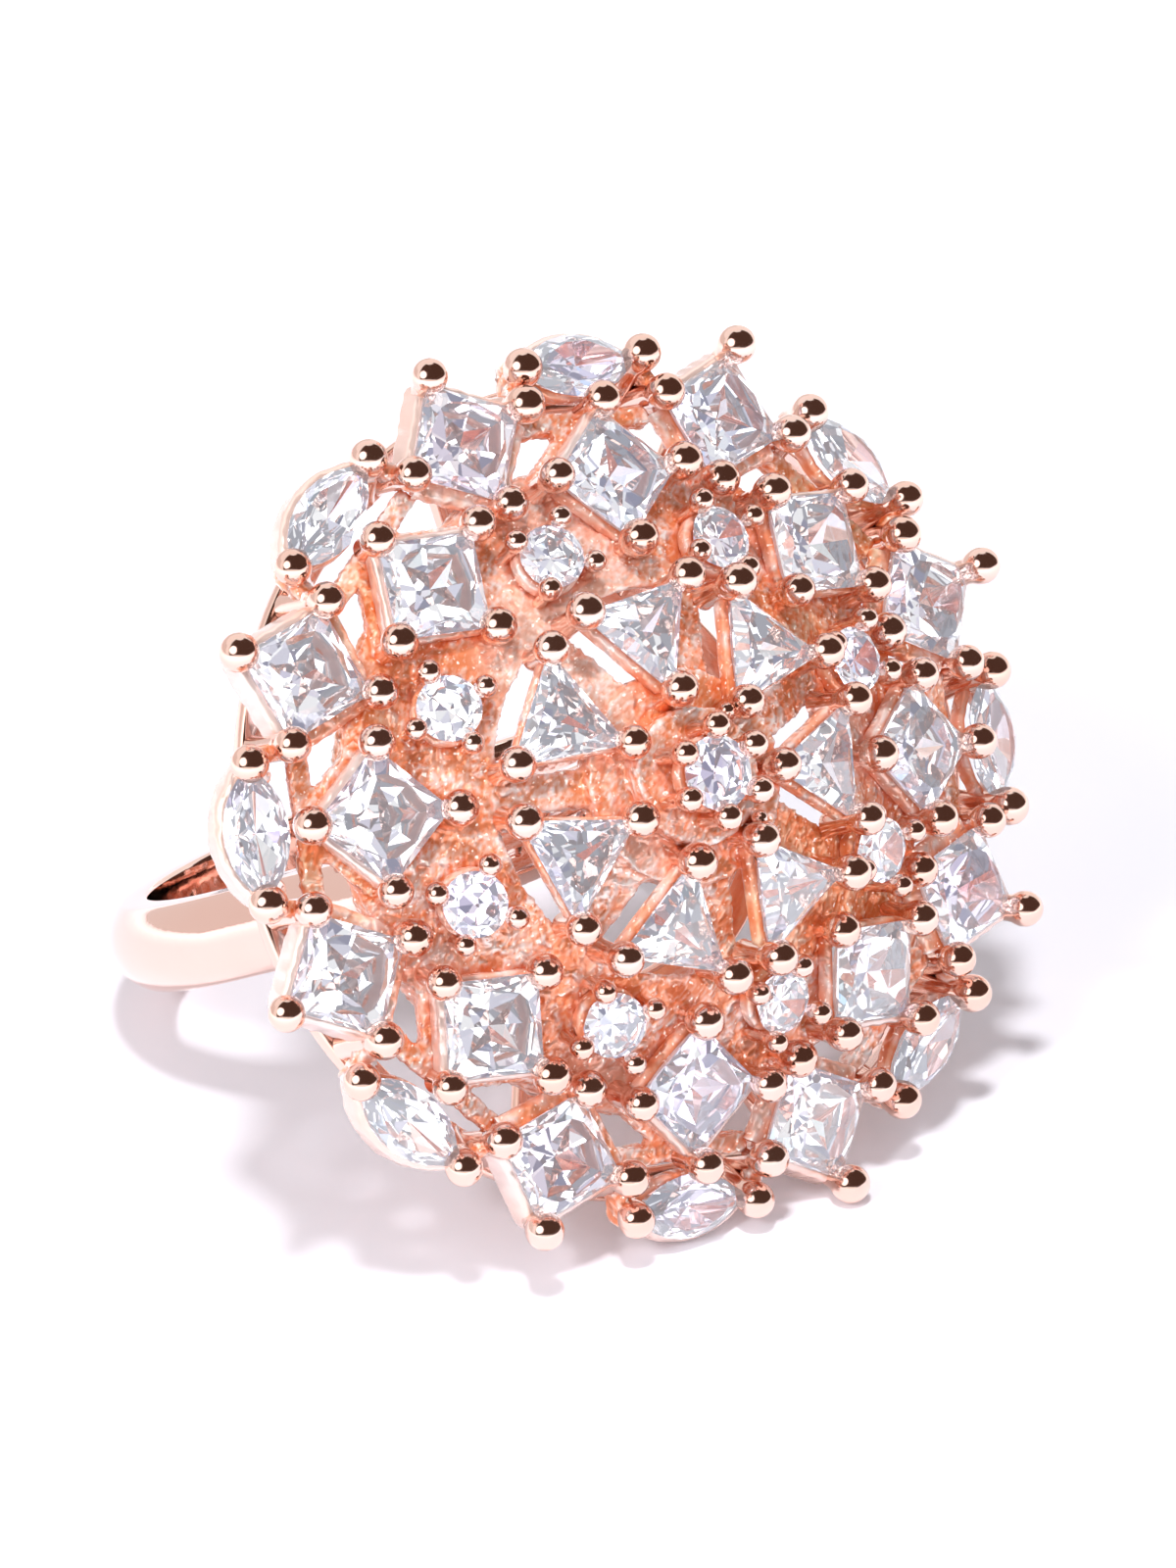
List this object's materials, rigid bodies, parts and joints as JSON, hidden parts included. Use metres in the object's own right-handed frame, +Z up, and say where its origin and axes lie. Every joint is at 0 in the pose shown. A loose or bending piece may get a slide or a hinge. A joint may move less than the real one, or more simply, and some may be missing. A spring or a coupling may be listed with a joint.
{
  "type": "cocktail ring",
  "caption": "Domed cluster cocktail ring with clear faceted stones in beaded claws on an open rose gold gallery and a half-round shank.",
  "frame": {"origin": "centre of the finger hole", "axes": "+Z up as the ring lies on its rim and the back of its shank; the stones face -Y and a little up"},
  "size_m": [0.0285, 0.0296, 0.026],
  "materials": {
    "polished_rose_gold": "polished rose gold plate over brass",
    "cast_rose_gold": "as-cast satin rose gold plate over brass",
    "clear_stone": "faceted clear cubic zirconia"
  },
  "bodies": {
    "root": {"shank": "polished_rose_gold", "seat_ring": "polished_rose_gold", "gallery_struts": "polished_rose_gold", "base_rail": "polished_rose_gold", "dome_frame": "cast_rose_gold", "centre_setting": "polished_rose_gold", "triangle_settings": "polished_rose_gold", "round_settings": "polished_rose_gold", "inner_square_settings": "polished_rose_gold", "outer_square_settings": "polished_rose_gold", "marquise_settings": "polished_rose_gold", "centre_stone": "clear_stone", "triangle_stone_1": "clear_stone", "triangle_stone_2": "clear_stone", "triangle_stone_3": "clear_stone", "triangle_stone_4": "clear_stone", "triangle_stone_5": "clear_stone", "triangle_stone_6": "clear_stone", "triangle_stone_7": "clear_stone", "round_stone_1": "clear_stone", "round_stone_2": "clear_stone", "round_stone_3": "clear_stone", "round_stone_4": "clear_stone", "round_stone_5": "clear_stone", "round_stone_6": "clear_stone", "round_stone_7": "clear_stone", "round_stone_8": "clear_stone", "inner_square_stone_1": "clear_stone", "inner_square_stone_2": "clear_stone", "inner_square_stone_3": "clear_stone", "inner_square_stone_4": "clear_stone", "inner_square_stone_5": "clear_stone", "inner_square_stone_6": "clear_stone", "inner_square_stone_7": "clear_stone", "inner_square_stone_8": "clear_stone", "outer_square_stone_1": "clear_stone", "outer_square_stone_2": "clear_stone", "outer_square_stone_3": "clear_stone", "outer_square_stone_4": "clear_stone", "outer_square_stone_5": "clear_stone", "outer_square_stone_6": "clear_stone", "outer_square_stone_7": "clear_stone", "outer_square_stone_8": "clear_stone", "marquise_stone_1": "clear_stone", "marquise_stone_2": "clear_stone", "marquise_stone_3": "clear_stone", "marquise_stone_4": "clear_stone", "marquise_stone_5": "clear_stone", "marquise_stone_6": "clear_stone", "marquise_stone_7": "clear_stone", "marquise_stone_8": "clear_stone"}
  },
  "joints": []
}
